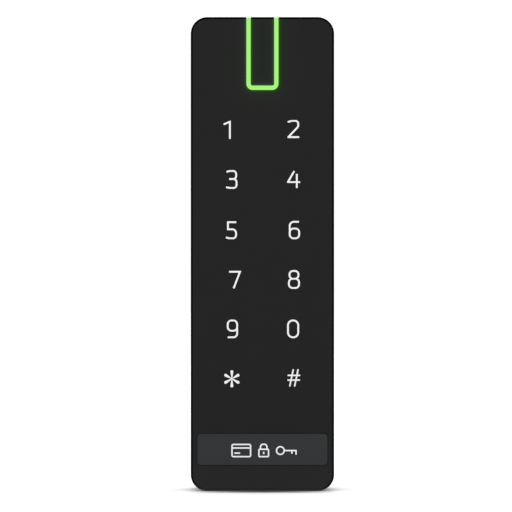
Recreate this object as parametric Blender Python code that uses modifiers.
"""Keypad access reader for a door frame: a sealed reader that hangs on the hooks of a wall bracket.

The reader faces -Y, +X is to its right and +Z is up. The origin is the centre of the bracket's
back face, so the wall is the plane y = 0. In this file a "depth" is the distance from the wall
towards the room, in millimetres, and every size is in millimetres until it reaches MM.
"""

import math

import bmesh
import bpy
from mathutils import Matrix, Vector

MM = 0.001

# Driving dimensions, in millimetres.
WIDTH = 44.8
HEIGHT = 148.1
CORNER = 5.2
FACE_DEPTH = 19.5
WALL = 1.8
LIP = 0.45
EASED = 0.3

HALF_W = WIDTH / 2
HALF_H = HEIGHT / 2
INNER_W = HALF_W - WALL
INNER_H = HALF_H - WALL

# Clearances: between layers, round the light's pins, and on each side of the light in its groove.
GAP = 0.1
PIN_GAP = 0.15
GROOVE_GAP = 0.07

# Where cutters end when they run past everything: depths behind and in front, heights over and under.
BEHIND = -1.0
IN_FRONT = 25.0
OVER = 80.0
UNDER = -78.0

# Layers, from the wall towards the room.
BRACKET_FRONT = 2.0
SKIRT_BACK = 0.5
COVER = (3.4, 5.2)
SEAL = (5.3, 5.5)
LEDGE = 5.6
BOARD = (11.0, 12.6)
LEDS_FRONT = 13.5
COIL = (14.0, 15.5)
KEY_GUIDE = (14.6, 16.5)
FRONT_WALL = (15.8, 17.3)
TOUCH_BOARD = (16.8, 17.5)
ADHESIVE = (17.4, 17.6)
PANEL = (17.7, FACE_DEPTH)

# The sealed chamber, between the partitions above and below it.
CHAMBER_Z = (-65.0, 67.0)
CHAMBER_CORNER = 2.4
LEDGE_WIDTH = 1.2
PARTITION = 1.4
CHANNEL_W = 18.6
COVER_INSET = 0.3

# U-shaped status light.
LIGHT_WIDTH = 1.47
LIGHT_SPAN = 10.16
LIGHT_LENGTH = 22.8
LIGHT_BEND = 1.3
LIGHT_DEPTH = 18.4
LIGHT_BACK = 11.5
LIGHT_TOP = 1.1
LEG_X = (LIGHT_SPAN - LIGHT_WIDTH) / 2
BAR_Z = HALF_H - LIGHT_LENGTH + LIGHT_WIDTH / 2
PINS = {
    "left": ((-LEG_X, 57.0), (1.0, 4.0)),
    "right": ((LEG_X, 57.0), (1.0, 4.0)),
    "bottom": ((0.0, BAR_Z), (4.0, 1.0)),
}

# Name plate.
PLATE_SIZE = (40.7, 9.8)
PLATE_Z = -61.0
PLATE_CORNER = 1.1
PLATE_DEPTH = (18.95, FACE_DEPTH + 0.1)

# Touch keypad.
WINDOW = (16.7, 47.0)
KEY_ROWS = (38.9, 23.3, 7.5, -7.9, -23.35, -38.8)
KEY_COLUMN = 9.6
KEY_HOLE = (5.0, 6.6)
KEY_LEDS_Z = (34.5, 11.5, -11.5, -34.5)

# Joints: the tilt axis as (x, depth, z), and the depth of the upright locking screw.
TILT_AXIS = (0.0, 3.0, 71.1)
SCREW_DEPTH = 5.5

# Hanging rib of the housing, and the bracket's hooks: half width or centres, depths and heights.
RIB_W = 18.0
RIB = (2.5, 3.5)
RIB_LOW = 70.6
HOOKS_X = (-10.0, 10.0)
HOOK_HALF_W = 4.0
HOOK_ARM = ((1.5, 4.9), (69.1, 70.2))
HOOK_LIP = ((4.0, 4.9), (69.1, 71.8))
TILT_RELIEF = (1.0, 71.5)

# Locking block of the housing, with its slots as (half width, top), and the bracket's foot tab.
LOCK_HALF_W = 7.0
LOCK_FRONT = 11.0
LOCK_TOP = -70.1
SHANK_SLOT = (1.7, -69.0)
HEAD_SLOT = (3.3, -71.15)
TAB_HALF_W = 5.0
TAB = ((1.5, 9.0), (-69.6, -67.7))
INSERT = (1.55, 2.05, 1.7)
INSERT_TOP = -67.8
WASHER = (1.65, 3.0, 0.5)
WASHER_TOP = -71.25

# Locking screw: radii of its shank, head and hex socket, and heights of its top, head and foot.
LOCK_SHANK_R = 1.45
LOCK_HEAD_R = 2.7
LOCK_SOCKET_R = 1.2
LOCK_TOP_Z = -66.9
LOCK_UNDER_HEAD_Z = -71.85
LOCK_FOOT_Z = -73.45
LOCK_SOCKET_TOP_Z = -72.3

# Small screws: (head radius, head depths, shank radius, tip depth, socket radius).
COVER_SCREW = (2.1, (3.5, 4.5), 1.1, 12.5, 0.95)
BOARD_SCREW = (1.8, (9.6, 10.9), 0.8, 15.0, 0.8)
SOCKET_DEPTH = 0.6

# Bosses: (radius, pilot radius, pilot's front).
COVER_BOSS = (2.6, 1.2, 13.5)
BOARD_BOSS = (2.25, 0.9, 15.4)
BOSS_FRONT = FRONT_WALL[0] + 0.6

# Fixings: (x, z) of each.
COVER_SCREWS = ((-17.0, 63.4), (17.0, 63.4), (-17.0, -61.4), (17.0, -61.4))
BOARD_BOSSES = ((-14.0, 52.0), (14.0, 52.0), (-14.0, -52.0), (14.0, -52.0))
BOARD_SCREWS = (BOARD_BOSSES[0], BOARD_BOSSES[3])

# Cable entry and tamper window.
GROMMET_Z = -19.0
GROMMET_WAIST = 5.3
TAMPER_XZ = (-15.0, -36.0)
TAMPER_R = 2.0

# Wall bracket: its plate, its cable opening and its screw holes.
BRACKET_Z = (-69.7, 70.3)
CABLE_OPENING = (11.0, (-30.0, -8.0))
WALL_SLOTS_Z = (-41.65, 41.65)
WALL_HOLES_Z = (-57.0, 57.0)
WALL_SCREW_R = 2.1
SLOT_HALF = 4.5
SEAT_DEPTH = 1.1
SEAT_GROW = 1.8

# Legends: symbol -> (name, (x, z), (width, height)).
LEGEND_STROKE = 0.66
HASH_STROKE = 0.54
LEGEND_DEPTH = (19.55, 19.72)
LEGENDS = {
    "1": ("legend_1", (-10.96, 38.71), (2.14, 5.45)),
    "2": ("legend_2", (9.65, 39.07), (3.62, 5.62)),
    "3": ("legend_3", (-9.56, 23.32), (3.51, 5.88)),
    "4": ("legend_4", (9.74, 23.33), (4.16, 5.37)),
    "5": ("legend_5", (-9.65, 7.45), (3.39, 5.60)),
    "6": ("legend_6", (10.00, 7.52), (3.52, 5.71)),
    "7": ("legend_7", (-8.65, -7.92), (3.54, 5.38)),
    "8": ("legend_8", (9.85, -7.91), (3.73, 5.86)),
    "9": ("legend_9", (-9.37, -23.35), (3.51, 5.80)),
    "0": ("legend_0", (9.58, -23.35), (3.76, 5.80)),
    "#": ("legend_hash", (9.80, -38.65), (3.99, 5.29)),
}
STAR_CENTRE = (-9.55, -38.94)
STAR_REACH = 2.2
STAR_TIP = 0.48
STAR_WAIST = 0.24

# Centre lines of the legends, in a box from -1 to 1 both ways: (corner radius in mm, ends, points).
STROKES = {
    "1": ((0.0, "square", ((-1.0, 0.72), (1.0, 1.0), (1.0, -1.0))),),
    "2": (
        (1.15, "round", ((-1.0, 0.88), (-0.4, 1.0), (1.0, 1.0), (1.0, 0.3), (-0.92, -0.93))),
        (0.0, "square", ((-1.0, -1.0), (1.0, -1.0))),
    ),
    "3": (
        (1.1, "square", ((-0.9, 0.92), (-0.4, 1.0), (0.92, 1.0), (0.92, 0.05), (-0.35, 0.05))),
        (1.15, "square", ((-0.35, 0.05), (1.0, 0.05), (1.0, -1.0), (-0.3, -1.0), (-1.0, -0.93))),
    ),
    "4": (
        (0.0, "round", ((0.05, 1.0), (-1.0, -0.35))),
        (0.0, "round", ((-1.0, -0.35), (1.0, -0.35))),
        (0.0, "square", ((0.55, 0.6), (0.55, -1.0))),
    ),
    "5": (
        (0.0, "square", ((0.85, 1.0), (-0.75, 1.0), (-0.75, 0.12))),
        (1.2, "square", ((-0.75, 0.12), (1.0, 0.12), (1.0, -1.0), (-0.4, -1.0), (-1.0, -0.92))),
    ),
    "6": (
        (1.5, "square", ((0.75, 1.0), (-1.0, 1.0), (-1.0, -0.3))),
        (1.2, "loop", ((-1.0, -1.0), (1.0, -1.0), (1.0, 0.18), (-1.0, 0.18))),
    ),
    "7": ((0.0, "square", ((-1.0, 1.0), (1.0, 1.0), (-0.2, -1.0))),),
    "8": (
        (1.1, "loop", ((-0.88, 0.08), (0.88, 0.08), (0.88, 1.0), (-0.88, 1.0))),
        (1.15, "loop", ((-1.0, -1.0), (1.0, -1.0), (1.0, 0.08), (-1.0, 0.08))),
    ),
    "9": (
        (1.2, "loop", ((-1.0, -0.22), (1.0, -0.22), (1.0, 1.0), (-1.0, 1.0))),
        (1.2, "square", ((1.0, 0.3), (1.0, -1.0), (-0.8, -1.0))),
    ),
    "0": ((1.5, "loop", ((-1.0, -1.0), (1.0, -1.0), (1.0, 1.0), (-1.0, 1.0))),),
    "#": (
        (0.0, "square", ((-0.7, -1.0), (-0.12, 1.0))),
        (0.0, "square", ((0.16, -1.0), (0.74, 1.0))),
        (0.0, "square", ((-0.96, 0.32), (1.0, 0.32))),
        (0.0, "square", ((-1.0, -0.28), (0.96, -0.28))),
    ),
}

# Materials: slot -> (red, green, blue, roughness, metallic), colours as display values from 0 to 255.
MATERIALS = {
    "housing_black": (10, 10, 11, 0.45, 0.0),
    "face_plastic": (38, 38, 38, 0.6, 0.0),
    "green_light": (163, 248, 115, 0.3, 0.0),
    "plate_grey": (51, 53, 54, 0.5, 0.0),
    "legend_white": (245, 245, 245, 0.5, 0.0),
    "adhesive": (22, 22, 22, 0.9, 0.0),
    "clear_guide": (225, 230, 232, 0.2, 0.0),
    "circuit_board": (16, 74, 44, 0.5, 0.0),
    "chip_black": (24, 24, 26, 0.5, 0.0),
    "module_can": (186, 188, 190, 0.35, 1.0),
    "ferrite": (52, 52, 56, 0.7, 0.0),
    "capacitor_can": (178, 180, 184, 0.3, 1.0),
    "led_body": (240, 236, 214, 0.4, 0.0),
    "copper_coil": (184, 104, 62, 0.35, 1.0),
    "flex_amber": (176, 110, 30, 0.45, 0.0),
    "connector_white": (226, 224, 214, 0.5, 0.0),
    "cover_black": (20, 20, 21, 0.6, 0.0),
    "seal_rubber": (14, 14, 14, 0.85, 0.0),
    "smoked_window": (40, 26, 30, 0.15, 0.0),
    "bracket_black": (28, 28, 29, 0.65, 0.0),
    "steel": (170, 171, 174, 0.35, 1.0),
    "brass": (190, 150, 80, 0.3, 1.0),
}


def clear_scene():
    for obj in list(bpy.data.objects):
        bpy.data.objects.remove(obj, do_unlink=True)


def new_collection(name):
    collection = bpy.data.collections.new(name)
    bpy.context.scene.collection.children.link(collection)
    return collection


def linear(value):
    """One display colour value, 0 to 255, as the linear value that a shader takes."""
    share = value / 255
    return share / 12.92 if share <= 0.04045 else ((share + 0.055) / 1.055) ** 2.4


def new_material(slot):
    red, green, blue, roughness, metallic = MATERIALS[slot]
    material = bpy.data.materials.new(slot)
    material.use_nodes = True
    shader = material.node_tree.nodes["Principled BSDF"]
    shader.inputs["Base Color"].default_value = (linear(red), linear(green), linear(blue), 1)
    shader.inputs["Roughness"].default_value = roughness
    shader.inputs["Metallic"].default_value = metallic
    return material


def point(x, depth, z):
    """A place in metres, from x, a depth and z in millimetres."""
    return Vector((x, -depth, z)) * MM


# Basic shapes, each a bmesh in world space.


def block(x, depth, z):
    """A cuboid. Each argument is (low, high)."""
    low, high = point(x[0], depth[1], z[0]), point(x[1], depth[0], z[1])
    matrix = Matrix.Translation((low + high) / 2) @ Matrix.Diagonal((*(high - low), 1))
    bm = bmesh.new()
    bmesh.ops.create_cube(bm, size=1, matrix=matrix)
    return bm


def round_corners(bm, radius, segments):
    """Round the cuboid's four edges that run from the wall towards the room."""
    edges = [
        edge
        for edge in bm.edges
        if abs((edge.verts[0].co - edge.verts[1].co).normalized().y) > 0.99
    ]
    bmesh.ops.bevel(bm, geom=edges, offset=radius * MM, segments=segments, profile=0.5, affect="EDGES")
    return bm


def soften_front(bm, width, segments=2):
    """Ease the outline of the face that is nearest the room."""
    front = min(vert.co.y for vert in bm.verts)
    edges = [
        edge
        for edge in bm.edges
        if all(abs(vert.co.y - front) < 1e-6 for vert in edge.verts)
    ]
    bmesh.ops.bevel(bm, geom=edges, offset=width * MM, segments=segments, profile=0.5, affect="EDGES")
    return bm


def slab(half_width, depth, z, corner, segments=6):
    """A plate centred on x = 0 whose outline has round corners."""
    return round_corners(block((-half_width, half_width), depth, z), corner, segments)


def centred(x, z, size, depth):
    """A cuboid from its centre in the face plane and its width and height."""
    return block((x - size[0] / 2, x + size[0] / 2), depth, (z - size[1] / 2, z + size[1] / 2))


def rod(x, z, radius, depth, segments=24):
    """A cylinder that runs from the wall towards the room."""
    turn = Matrix.Rotation(math.pi / 2, 4, "X")
    matrix = Matrix.Translation(point(x, sum(depth) / 2, z)) @ turn
    bm = bmesh.new()
    bmesh.ops.create_cone(
        bm,
        cap_ends=True,
        segments=segments,
        radius1=radius * MM,
        radius2=radius * MM,
        depth=(depth[1] - depth[0]) * MM,
        matrix=matrix,
    )
    return bm


def post(x, depth, radius, z, segments=24):
    """A cylinder that stands upright."""
    bm = bmesh.new()
    bmesh.ops.create_cone(
        bm,
        cap_ends=True,
        segments=segments,
        radius1=radius * MM,
        radius2=radius * MM,
        depth=(z[1] - z[0]) * MM,
        matrix=Matrix.Translation(point(x, depth, sum(z) / 2)),
    )
    return bm


def filleted(points, radius, closed, steps=6):
    """The points of a line with an arc at each corner."""
    if not radius:
        return points
    ends = [] if closed else [0, len(points) - 1]
    line = []
    for i, corner in enumerate(points):
        if i in ends:
            line.append(corner)
            continue
        before = (points[i - 1] - corner).normalized()
        after = (points[(i + 1) % len(points)] - corner).normalized()
        half = before.angle(after) / 2
        reach = radius / math.tan(half)
        shorter = min((points[i - 1] - corner).length, (points[(i + 1) % len(points)] - corner).length)
        bend = radius * min(1, shorter / 2 / reach)
        centre = corner + (before + after).normalized() * bend / math.sin(half)
        start = corner + before * bend / math.tan(half) - centre
        finish = corner + after * bend / math.tan(half) - centre
        turn = start.angle_signed(finish)
        for k in range(steps + 1):
            line.append(centre + Matrix.Rotation(-turn * k / steps, 2) @ start)
    return line


def thinned(line, closed):
    """The line without points that repeat."""
    kept = [line[0]]
    for place in line[1:]:
        if (place - kept[-1]).length > 1e-4:
            kept.append(place)
    if closed and (kept[0] - kept[-1]).length <= 1e-4:
        kept.pop()
    return kept


def side_of(line, offset, closed):
    """The line moved sideways by an offset, mitred at its corners."""
    moved = []
    last = len(line) - 1
    for i, here in enumerate(line):
        ways = []
        if closed or i > 0:
            ways.append((here - line[i - 1]).normalized())
        if closed or i < last:
            ways.append((line[(i + 1) % len(line)] - here).normalized())
        way = sum(ways, Vector((0, 0))).normalized()
        normal = Vector((-way.y, way.x))
        moved.append(here + normal * offset / way.dot(ways[0]))
    return moved


def cap_at(end, way, radius, steps=6):
    """The points of a round end, without its first and last."""
    first = Vector((-way.y, way.x)) * radius
    return [end + Matrix.Rotation(-math.pi * k / steps, 2) @ first for k in range(1, steps)]


def stroke_outlines(points, radius, ends, width):
    """The closed outlines of a stroke that follows a line. ends is loop, flat, square or round."""
    closed = ends == "loop"
    line = thinned(filleted([Vector(p) for p in points], radius, closed), closed)
    if ends == "square":
        line[0] = line[0] + (line[0] - line[1]).normalized() * width / 2
        line[-1] = line[-1] + (line[-1] - line[-2]).normalized() * width / 2
    left = side_of(line, width / 2, closed)
    right = side_of(line, -width / 2, closed)
    if closed:
        return [left, right]
    if ends != "round":
        return [left + right[::-1]]
    tail = cap_at(line[-1], (line[-1] - line[-2]).normalized(), width / 2)
    head = cap_at(line[0], (line[0] - line[1]).normalized(), width / 2)
    return [left + tail + right[::-1] + head]


def flat_shape(outlines, depth):
    """A bmesh of flat outlines in the face plane, filled and given a thickness."""
    curve = bpy.data.curves.new("outline", "CURVE")
    curve.dimensions = "2D"
    curve.fill_mode = "BOTH"
    curve.extrude = (depth[1] - depth[0]) / 2 * MM
    for outline in outlines:
        spline = curve.splines.new("POLY")
        spline.points.add(len(outline) - 1)
        for vertex, place in zip(spline.points, outline):
            vertex.co = (place.x * MM, place.y * MM, 0, 1)
        spline.use_cyclic_u = True
    guide = bpy.data.objects.new("outline", curve)
    bpy.context.scene.collection.objects.link(guide)
    mesh = bpy.data.meshes.new_from_object(guide.evaluated_get(bpy.context.evaluated_depsgraph_get()))
    bpy.data.objects.remove(guide, do_unlink=True)
    bm = bmesh.new()
    bm.from_mesh(mesh)
    bpy.data.meshes.remove(mesh)
    bmesh.ops.remove_doubles(bm, verts=bm.verts, dist=1e-7)
    stand_up = Matrix.Translation(point(0, sum(depth) / 2, 0)) @ Matrix.Rotation(math.pi / 2, 4, "X")
    bmesh.ops.transform(bm, matrix=stand_up, verts=bm.verts)
    bmesh.ops.recalc_face_normals(bm, faces=bm.faces)
    return bm


class Model:
    """Puts pieces in the scene, with their materials, parents and cutters."""

    def __init__(self):
        self.parts = new_collection("keypad_access_reader")
        self.cutters = new_collection("cutters")
        self.materials = {slot: new_material(slot) for slot in MATERIALS}
        self.pivots = {}

    def pivot(self, name, place):
        """An empty on a joint's axis, which the moving pieces hang from."""
        empty = bpy.data.objects.new(name, None)
        empty.empty_display_size = 5 * MM
        empty.location = place
        self.parts.objects.link(empty)
        self.pivots[name] = (empty, Vector(place))

    def hang(self, obj, pivot):
        """Make an object follow a pivot, and keep it where it is."""
        empty, place = self.pivots[pivot]
        obj.parent = empty
        obj.matrix_parent_inverse = Matrix.Translation(-place)

    def add(self, name, bm, slot, pivot=None, origin=None):
        """A named piece from a bmesh in world space. Its origin is its centre unless one is given."""
        if origin is None:
            low = Vector([min(vert.co[axis] for vert in bm.verts) for axis in range(3)])
            high = Vector([max(vert.co[axis] for vert in bm.verts) for axis in range(3)])
            origin = (low + high) / 2
        bmesh.ops.translate(bm, vec=-Vector(origin), verts=bm.verts)
        obj = self.place(name, bm, slot)
        obj.location = origin
        if pivot:
            self.hang(obj, pivot)
        return obj

    def place(self, name, bm, slot):
        mesh = bpy.data.meshes.new(name)
        bm.to_mesh(mesh)
        bm.free()
        mesh.shade_smooth()
        mesh.set_sharp_from_angle(angle=math.radians(30))
        mesh.materials.append(self.materials[slot])
        obj = bpy.data.objects.new(name, mesh)
        self.parts.objects.link(obj)
        return obj

    def turned(self, name, profile, slot, origin, pivot=None, steps=24):
        """A turned piece. The profile is (radius, height) from the top down its outer side."""
        mesh = bpy.data.meshes.new(name)
        bm = bmesh.new()
        verts = [bm.verts.new((radius * MM, 0, height * MM)) for radius, height in profile]
        for start, finish in zip(verts, verts[1:]):
            bm.edges.new((start, finish))
        if profile[0][0] > 0:
            bm.edges.new((verts[-1], verts[0]))
        bm.to_mesh(mesh)
        bm.free()
        mesh.materials.append(self.materials[slot])
        obj = bpy.data.objects.new(name, mesh)
        self.parts.objects.link(obj)
        screw = obj.modifiers.new("Screw", "SCREW")
        screw.steps = steps
        screw.render_steps = steps
        screw.use_merge_vertices = True
        screw.merge_threshold = 1e-5
        obj.location = origin
        if pivot:
            self.hang(obj, pivot)
        return obj

    def combine(self, target, operation, bm):
        """Cut a shape from a piece, or join one to it, and keep the shape as a hidden helper."""
        label = f"{target.name}_{operation.lower()}_{len(target.modifiers)}"
        mesh = bpy.data.meshes.new(label)
        bm.to_mesh(mesh)
        bm.free()
        helper = bpy.data.objects.new(label, mesh)
        self.cutters.objects.link(helper)
        helper.hide_render = True
        helper.display_type = "WIRE"
        modifier = target.modifiers.new(label, "BOOLEAN")
        modifier.operation = operation
        modifier.solver = "EXACT"
        modifier.object = helper

    def cut(self, target, *shapes):
        for bm in shapes:
            self.combine(target, "DIFFERENCE", bm)

    def join(self, target, *shapes):
        for bm in shapes:
            self.combine(target, "UNION", bm)


# The status light's shape is shared by the light guide and the groove that holds it.


def light_path(depth, width, top):
    """The flat U, as one stroke with flat ends at the top."""
    line = ((-LEG_X, top), (-LEG_X, BAR_Z), (LEG_X, BAR_Z), (LEG_X, top))
    return flat_shape(stroke_outlines(line, LIGHT_BEND, "flat", width), depth)


def light_pins(depth, grow=0.0):
    return [
        centred(x, z, (size[0] + 2 * grow, size[1] + 2 * grow), depth)
        for (x, z), size in PINS.values()
    ]


def light_bars(depth, low, high, width):
    """The two bars that run back along the top."""
    return [
        block((x - width / 2, x + width / 2), depth, (low, high))
        for x in (-LEG_X, LEG_X)
    ]


# Reader body.


def front_housing(model):
    front = FACE_DEPTH - GAP
    body = soften_front(slab(HALF_W, (SKIRT_BACK, front), (-HALF_H, HALF_H), CORNER), EASED)
    housing = model.add("front_housing", body, "housing_black", "reader_pivot")
    low, high = CHAMBER_Z
    behind_cover = COVER[0] - 1
    panel_seat = slab(HALF_W - LIP, (FRONT_WALL[1], IN_FRONT), (LIP - HALF_H, HALF_H - LIP), CORNER - LIP)
    skirt = slab(INNER_W, (BEHIND, COVER[0]), (-INNER_H, INNER_H), CORNER - WALL)
    cover_seat = slab(INNER_W, (behind_cover, LEDGE), (low, high), CHAMBER_CORNER)
    chamber_z = (low + LEDGE_WIDTH, high - LEDGE_WIDTH)
    chamber = slab(INNER_W - LEDGE_WIDTH, (LEDGE - 1, FRONT_WALL[0]), chamber_z, CHAMBER_CORNER - 0.4)
    channel_depth = (behind_cover, FRONT_WALL[0])
    hook_channel = block((-CHANNEL_W, CHANNEL_W), channel_depth, (high + PARTITION, INNER_H))
    foot_channel = block((-CHANNEL_W, CHANNEL_W), channel_depth, (-INNER_H, low - PARTITION))
    model.cut(housing, panel_seat, skirt, cover_seat, chamber, hook_channel, foot_channel)
    model.cut(housing, window_hole(FRONT_WALL))
    model.cut(housing, *light_pins((FRONT_WALL[0] - 1, FRONT_WALL[1] + 1), PIN_GAP))
    groove_low = HALF_H - LIGHT_TOP - GAP
    model.cut(housing, *light_bars((LIGHT_BACK - 2 * GAP, IN_FRONT), groove_low, OVER, LIGHT_WIDTH + 2 * GAP))
    add_hanging_rib(model, housing)
    add_lock_block(model, housing)
    add_bosses(model, housing)
    depth, relief_low = TILT_RELIEF
    model.cut(housing, block((-WIDTH, WIDTH), (BEHIND, depth), (relief_low, OVER)))


def window_hole(layer):
    """A cutter for the opening behind the keys, through one layer."""
    return slab(WINDOW[0], (layer[0] - 1, layer[1] + 1), (-WINDOW[1], WINDOW[1]), 2)


def add_hanging_rib(model, housing):
    """The rib that drops behind the bracket's hooks."""
    model.join(housing, block((-RIB_W, RIB_W), RIB, (RIB_LOW, INNER_H + WALL / 4)))


def add_lock_block(model, housing):
    """The block at the foot, with a stepped slot that is open at the back for the locking screw."""
    foot = WALL / 2 - HALF_H
    model.join(housing, block((-LOCK_HALF_W, LOCK_HALF_W), (SKIRT_BACK, LOCK_FRONT), (foot, LOCK_TOP)))
    for half_width, top in (SHANK_SLOT, HEAD_SLOT):
        slot = block((-half_width, half_width), (BEHIND, SCREW_DEPTH), (UNDER, top))
        round_end = post(0, SCREW_DEPTH, half_width, (UNDER, top))
        model.cut(housing, slot, round_end)


def add_bosses(model, housing):
    for places, sizes, back in ((COVER_SCREWS, COVER_BOSS, COVER[1]), (BOARD_BOSSES, BOARD_BOSS, BOARD[1])):
        radius, pilot, pilot_front = sizes
        for x, z in places:
            model.join(housing, rod(x, z, radius, (back + GAP, BOSS_FRONT), 20))
            model.cut(housing, rod(x, z, pilot, (back - 1, pilot_front), 12))


def front_panel(model):
    half_w = HALF_W - LIP - GAP
    half_h = HALF_H - LIP - GAP
    body = soften_front(slab(half_w, PANEL, (-half_h, half_h), CORNER - LIP - GAP), 2 * GAP)
    panel = model.add("front_panel", body, "face_plastic", "reader_pivot")
    groove_w = LIGHT_WIDTH + 2 * GROOVE_GAP
    model.cut(panel, light_path((LIGHT_DEPTH - GAP, IN_FRONT), groove_w, OVER))
    model.cut(panel, *light_pins((PANEL[0] - 1, LIGHT_DEPTH + 0.5), PIN_GAP))
    model.cut(panel, *light_bars((PANEL[0] - 1, IN_FRONT), HALF_H - LIGHT_TOP - GAP, OVER, groove_w))
    recess_z = (PLATE_Z - PLATE_SIZE[1] / 2 - GAP, PLATE_Z + PLATE_SIZE[1] / 2 + GAP)
    recess = slab(PLATE_SIZE[0] / 2 + GAP, (PLATE_DEPTH[0] - GAP, IN_FRONT), recess_z, PLATE_CORNER + GAP)
    model.cut(panel, recess)


def panel_adhesive(model):
    half_w = HALF_W - LIP - 6.5 * GAP
    half_h = HALF_H - LIP - 7 * GAP
    sheet = slab(half_w, ADHESIVE, (-half_h, half_h), CORNER - LIP - 7 * GAP)
    tape = model.add("panel_adhesive", sheet, "adhesive", "reader_pivot")
    model.cut(tape, window_hole(ADHESIVE))
    model.cut(tape, *light_pins((ADHESIVE[0] - 1, ADHESIVE[1] + 1), PIN_GAP))


def status_light_guide(model):
    face = light_path((LIGHT_DEPTH, FACE_DEPTH), LIGHT_WIDTH, HALF_H)
    guide = model.add("status_light_guide", face, "green_light", "reader_pivot")
    sliver = 0.02
    bar_depth = (LIGHT_BACK, FACE_DEPTH - GAP / 2)
    bars = light_bars(bar_depth, HALF_H - LIGHT_TOP, HALF_H - sliver, LIGHT_WIDTH - sliver)
    model.join(guide, *bars)
    model.join(guide, *light_pins((LEDS_FRONT + 2 * GAP, LIGHT_DEPTH + 3 * GAP)))


def name_plate(model):
    low, high = PLATE_Z - PLATE_SIZE[1] / 2, PLATE_Z + PLATE_SIZE[1] / 2
    body = slab(PLATE_SIZE[0] / 2, PLATE_DEPTH, (low, high), PLATE_CORNER, 5)
    model.add("name_plate", soften_front(body, 1.2 * GAP), "plate_grey", "reader_pivot")


def legends(model):
    """The raised key marks, each a union of its strokes."""
    for symbol, (name, centre, size) in LEGENDS.items():
        width = HASH_STROKE if symbol == "#" else LEGEND_STROKE
        reach = ((size[0] - width) / 2, (size[1] - width) / 2)
        shapes = []
        for radius, ends, points in STROKES[symbol]:
            line = [(centre[0] + u * reach[0], centre[1] + v * reach[1]) for u, v in points]
            shapes.append(flat_shape(stroke_outlines(line, radius, ends, width), LEGEND_DEPTH))
        legend = model.add(name, shapes[0], "legend_white", "reader_pivot")
        model.join(legend, *shapes[1:])


def legend_star(model):
    """Six petals that widen outwards, two of them upright, in one outline."""
    centre = Vector(STAR_CENTRE)
    outline = []
    for k in range(6):
        way = Matrix.Rotation(math.radians(90 - 60 * k), 2) @ Vector((1, 0))
        side = Vector((-way.y, way.x)) * STAR_TIP
        tip = centre + way * STAR_REACH
        outline += [tip + side] + cap_at(tip, way, STAR_TIP) + [tip - side]
        valley = Matrix.Rotation(math.radians(60 - 60 * k), 2) @ Vector((STAR_WAIST, 0))
        outline.append(centre + valley)
    model.add("legend_star", flat_shape([outline], LEGEND_DEPTH), "legend_white", "reader_pivot")


def keypad_layers(model):
    """What lies behind the face: the touch board, the light guide and the cable between the boards."""
    inset = 3 * GAP
    sheet = slab(WINDOW[0] - inset, TOUCH_BOARD, (inset - WINDOW[1], WINDOW[1] - inset), 1.7, 4)
    board = model.add("touch_sensor_board", sheet, "circuit_board", "reader_pivot")
    for z in KEY_ROWS:
        for x in (-KEY_COLUMN, KEY_COLUMN):
            model.cut(board, centred(x, z, KEY_HOLE, (TOUCH_BOARD[0] - 1, TOUCH_BOARD[1] + 1)))
    guide_w, guide_h = WINDOW[0] - 7 * GAP, WINDOW[1] - 1.5
    guide = slab(guide_w, KEY_GUIDE, (-guide_h, guide_h), 1.5, 4)
    model.add("key_light_guide", guide, "clear_guide", "reader_pivot")
    flex_back, flex_front = BOARD[1] + GAP, TOUCH_BOARD[0] - GAP
    ribbon = block((-5, 5), (flex_back, flex_front), (-46.25, -46.0))
    cable = model.add("keypad_flex_cable", ribbon, "flex_amber", "reader_pivot")
    model.join(cable, block((-6, 6), (flex_back, flex_back + 1), (-46.35, -44.2)))


def antenna_coil(model):
    half_w, half_h, turn_width = 18.8, 48.6, 1.8
    outer = slab(half_w, COIL, (-half_h, half_h), 3)
    ring = model.add("antenna_coil", outer, "copper_coil", "reader_pivot")
    inner_z = (turn_width - half_h, half_h - turn_width)
    model.cut(ring, slab(half_w - turn_width, (COIL[0] - 1, COIL[1] + 1), inner_z, 1.4))


def main_board(model):
    sheet = slab(INNER_W - LEDGE_WIDTH - 4 * GAP, BOARD, (-58, 60), 1, 3)
    board = model.add("main_board", sheet, "circuit_board", "reader_pivot")
    for x, z in BOARD_BOSSES:
        model.cut(board, rod(x, z, 1.3, (BOARD[0] - 1, BOARD[1] + 1), 12))


def board_components(model):
    """The parts soldered to the board's back, and the LEDs on its front."""
    back = BOARD[0] - GAP
    front = BOARD[1] + GAP
    boxes = (
        ("processor_chip", (-7.0, 22.0), (8.0, 8.0), 9.9, "chip_black"),
        ("radio_module", (9.0, 42.0), (11.0, 15.0), 8.9, "module_can"),
        ("power_inductor", (11.0, 8.0), (6.0, 6.0), 7.9, "ferrite"),
        ("cable_header", (0.0, -36.0), (14.0, 5.5), 6.5, "connector_white"),
        ("tamper_sensor", TAMPER_XZ, (1.8, 3.2), 9.8, "chip_black"),
    )
    for name, (x, z), size, top, slot in boxes:
        model.add(name, centred(x, z, size, (top, back)), slot, "reader_pivot")
    model.add("power_capacitor", rod(11, -6, 3.15, (5.9, back), 20), "capacitor_can", "reader_pivot")
    model.add("buzzer", rod(-10, 2, 4.6, (7.6, back), 24), "chip_black", "reader_pivot")
    for i, z in enumerate(KEY_LEDS_Z, start=1):
        led = centred(0, z, (3, 2), (front, LEDS_FRONT))
        model.add(f"key_light_led_{i}", led, "led_body", "reader_pivot")
    for side, ((x, z), _) in PINS.items():
        led = centred(x, z, (2, 2.4), (front, LEDS_FRONT))
        model.add(f"status_led_{side}", led, "led_body", "reader_pivot")


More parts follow.
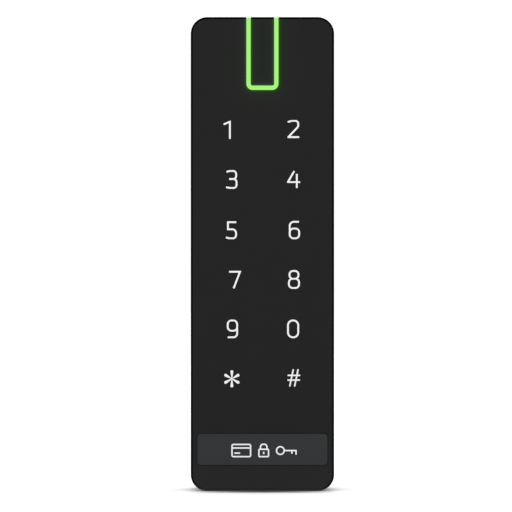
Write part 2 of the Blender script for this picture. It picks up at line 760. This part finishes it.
def machine_screw(model, name, place, sizes):
    """A screw driven from the wall side, at (x, z)."""
    x, z = place
    head_r, (head_back, head_front), shank_r, tip, socket_r = sizes
    under_head = head_back - head_front
    end = head_back - tip
    profile = (
        (0, 0),
        (head_r - 0.2, 0),
        (head_r, -0.25),
        (head_r, under_head),
        (shank_r, under_head),
        (shank_r, end + 0.4),
        (shank_r - 0.4, end),
        (0, end),
    )
    screw = model.turned(name, profile, "steel", point(x, head_back, z), pivot="reader_pivot", steps=16)
    screw.rotation_euler.x = -math.pi / 2
    model.cut(screw, rod(x, z, socket_r, (head_back - 1, head_back + SOCKET_DEPTH), 6))


def small_screws(model):
    for i, place in enumerate(BOARD_SCREWS, start=1):
        machine_screw(model, f"board_screw_{i}", place, BOARD_SCREW)
    for i, place in enumerate(COVER_SCREWS, start=1):
        machine_screw(model, f"rear_cover_screw_{i}", place, COVER_SCREW)


def rear_cover(model):
    low, high = CHAMBER_Z
    sheet_z = (low + COVER_INSET, high - COVER_INSET)
    body = slab(INNER_W - COVER_INSET, COVER, sheet_z, CHAMBER_CORNER - 2 * GAP)
    cover = model.add("rear_cover", body, "cover_black", "reader_pivot")
    through = (COVER[0] - 1, COVER[1] + 1)
    for x, z in COVER_SCREWS:
        counterbore = rod(x, z, 2.3, (COVER[0] - 1, 4.6), 20)
        model.cut(cover, counterbore, rod(x, z, 1.3, through, 12))
    model.cut(cover, rod(0, GROMMET_Z, GROMMET_WAIST + 2 * GAP, through, 32))
    model.cut(cover, rod(*TAMPER_XZ, TAMPER_R + GAP, through, 16))


def rear_cover_seal(model):
    low, high = CHAMBER_Z
    edge = COVER_INSET + 0.7
    outer_z = (low + COVER_INSET, high - COVER_INSET)
    outer = slab(INNER_W - COVER_INSET, SEAL, outer_z, CHAMBER_CORNER - 2 * GAP)
    ring = model.add("rear_cover_seal", outer, "seal_rubber", "reader_pivot")
    model.cut(ring, slab(INNER_W - edge, (SEAL[0] - 1, SEAL[1] + 1), (low + edge, high - edge), 1.5))


def cable_grommet(model):
    """A rubber ring with a groove that holds the cover's edge, turned about the cable's axis."""
    flange, bore, lip, length = 6.5, 3.2, 0.8, 3.6
    profile = (
        (bore, 0),
        (flange, 0),
        (flange, -lip),
        (GROMMET_WAIST, -lip),
        (GROMMET_WAIST, lip - length),
        (flange, lip - length),
        (flange, -length),
        (bore, -length),
    )
    back = point(0, COVER[0] - lip - GAP, GROMMET_Z)
    grommet = model.turned("cable_grommet", profile, "seal_rubber", back, pivot="reader_pivot")
    grommet.rotation_euler.x = -math.pi / 2


def tamper_window(model):
    """The smoked plug that the tamper sensor looks through, at the bracket."""
    plug = rod(*TAMPER_XZ, TAMPER_R, (COVER[0] + GAP, COVER[1] + 0.8), 16)
    model.add("tamper_window", plug, "smoked_window", "reader_pivot")


# Bracket and locking screw.


def wall_bracket(model):
    plate = slab(INNER_W - 4 * GAP, (0, BRACKET_FRONT), BRACKET_Z, 2.6)
    bracket = model.add("wall_bracket", plate, "bracket_black", origin=(0, 0, 0))
    for x in HOOKS_X:
        for depth, z in (HOOK_ARM, HOOK_LIP):
            model.join(bracket, block((x - HOOK_HALF_W, x + HOOK_HALF_W), depth, z))
    tab_depth, tab_z = TAB
    model.join(bracket, block((-TAB_HALF_W, TAB_HALF_W), tab_depth, tab_z))
    model.cut(bracket, post(0, SCREW_DEPTH, INSERT[1] + GAP, (tab_z[0] - 1, tab_z[1] + 1)))
    through = (BEHIND, BRACKET_FRONT + 1)
    half_width, opening_z = CABLE_OPENING
    model.cut(bracket, slab(half_width, through, opening_z, 2, 4))
    for z in WALL_SLOTS_Z:
        seat_half = SLOT_HALF + SEAT_GROW
        seat_r = WALL_SCREW_R + SEAT_GROW
        model.cut(bracket, slab(WALL_SCREW_R, through, (z - SLOT_HALF, z + SLOT_HALF), WALL_SCREW_R - 0.02))
        seat_depth = (SEAT_DEPTH, BRACKET_FRONT + 1)
        model.cut(bracket, slab(seat_r, seat_depth, (z - seat_half, z + seat_half), seat_r - 0.02))
    for z in WALL_HOLES_Z:
        model.cut(bracket, rod(0, z, WALL_SCREW_R, through, 20))


def ring_profile(bore, outer, thickness):
    return ((bore, 0), (outer, 0), (outer, -thickness), (bore, -thickness))


def threaded_insert(model):
    place = point(0, SCREW_DEPTH, INSERT_TOP)
    model.turned("threaded_insert", ring_profile(*INSERT), "brass", place)


def screw_washer(model):
    place = point(0, SCREW_DEPTH, WASHER_TOP)
    model.turned("screw_washer", ring_profile(*WASHER), "steel", place, pivot="screw_pivot")


def locking_screw(model):
    """A hex-socket screw that goes up into the insert from below."""
    under_head = LOCK_UNDER_HEAD_Z - LOCK_TOP_Z
    foot = LOCK_FOOT_Z - LOCK_TOP_Z
    profile = (
        (0, 0),
        (LOCK_SHANK_R - 0.3, 0),
        (LOCK_SHANK_R, -0.4),
        (LOCK_SHANK_R, under_head),
        (LOCK_HEAD_R, under_head),
        (LOCK_HEAD_R, foot + 0.35),
        (LOCK_HEAD_R - 0.35, foot),
        (0, foot),
    )
    place = point(0, SCREW_DEPTH, LOCK_TOP_Z)
    screw = model.turned("locking_screw", profile, "steel", place, pivot="screw_pivot")
    socket = post(0, SCREW_DEPTH, LOCK_SOCKET_R, (LOCK_FOOT_Z - 1, LOCK_SOCKET_TOP_Z), 6)
    model.cut(screw, socket)


def build():
    clear_scene()
    model = Model()
    model.pivot("reader_pivot", point(*TILT_AXIS))
    model.pivot("screw_pivot", point(0, SCREW_DEPTH, WASHER_TOP))
    wall_bracket(model)
    threaded_insert(model)
    screw_washer(model)
    locking_screw(model)
    front_housing(model)
    front_panel(model)
    panel_adhesive(model)
    status_light_guide(model)
    name_plate(model)
    legends(model)
    legend_star(model)
    keypad_layers(model)
    antenna_coil(model)
    main_board(model)
    board_components(model)
    small_screws(model)
    rear_cover(model)
    rear_cover_seal(model)
    cable_grommet(model)
    tamper_window(model)


build()
